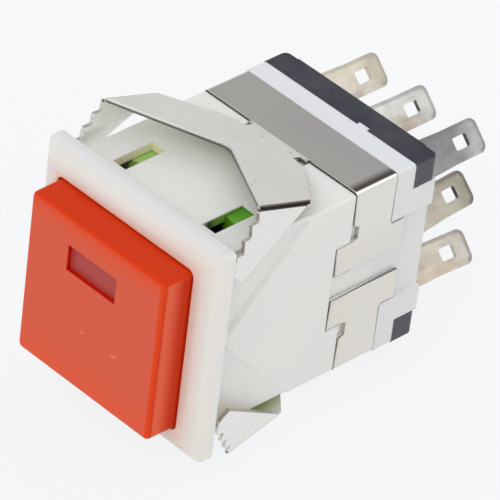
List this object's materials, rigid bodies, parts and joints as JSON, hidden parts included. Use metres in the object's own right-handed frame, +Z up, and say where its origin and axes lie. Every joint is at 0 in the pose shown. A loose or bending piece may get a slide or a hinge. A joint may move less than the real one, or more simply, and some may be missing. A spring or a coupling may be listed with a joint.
{
  "type": "illuminated push button switch",
  "caption": "Square illuminated push button switch with a red cap, white housing, spring steel panel clips and flat solder lugs.",
  "frame": {"origin": "centre of the flange's rear face, in the plane of the panel's front face", "axes": "-Y out of the panel towards the finger, +Y back to the lugs along the press axis, +Z up, +X to the right seen from the front"},
  "size_m": [0.02, 0.0364, 0.024],
  "materials": {
    "housing_white": "moulded nylon, satin",
    "base_black": "moulded phenolic, satin",
    "cap_red": "translucent orange red, satin gloss",
    "diffuser_white": "milky translucent",
    "plunger_green": "moulded, satin",
    "spring_steel": "drawn spring wire",
    "lamp_glass": "clear glass",
    "holder_black": "moulded, matt",
    "clip_steel": "plated spring steel, satin",
    "lug_tin": "tinned brass, dull",
    "rocker_brass": "rolled strip",
    "contact_silver": "silver contact"
  },
  "bodies": {
    "body": {"bottom_mounting_clip": "clip_steel", "fixed_contacts": "contact_silver", "housing": "housing_white", "lamp": "lamp_glass", "lamp_holder": "holder_black", "left_closed_terminal": "lug_tin", "left_common_terminal": "lug_tin", "left_open_terminal": "lug_tin", "lower_lamp_terminal": "lug_tin", "return_spring": "spring_steel", "right_closed_terminal": "lug_tin", "right_common_terminal": "lug_tin", "right_open_terminal": "lug_tin", "terminal_base": "base_black", "top_mounting_clip": "clip_steel", "upper_lamp_terminal": "lug_tin"},
    "button": {"button_cap": "cap_red", "cap_diffuser": "diffuser_white", "plunger": "plunger_green"},
    "left_rocker": {"left_rocker_contact": "rocker_brass", "left_rocker_rivets": "contact_silver"},
    "right_rocker": {"right_rocker_contact": "rocker_brass", "right_rocker_rivets": "contact_silver"}
  },
  "joints": [
    {"name": "button_press", "type": "slide", "parent": "body", "child": "button", "axis": [0, 1, 0], "range_m": [0, 0.0023], "stiffness_N_per_m": 350, "springref_m": -0.003, "deforming": ["return_spring"]},
    {"name": "left_rocker_swing", "type": "hinge", "parent": "body", "child": "left_rocker", "pos_m": [-0.0056, 0.01459, 0.0002], "axis": [1, 0, 0], "range_deg": [0, 20]},
    {"name": "right_rocker_swing", "type": "hinge", "parent": "body", "child": "right_rocker", "pos_m": [0.0056, 0.01459, 0.0002], "axis": [1, 0, 0], "range_deg": [0, 20]}
  ],
  "couplings": [
    {"joint": "left_rocker_swing", "follows": "button_press", "rad_per_m": 151.7},
    {"joint": "right_rocker_swing", "follows": "button_press", "rad_per_m": 151.7}
  ]
}
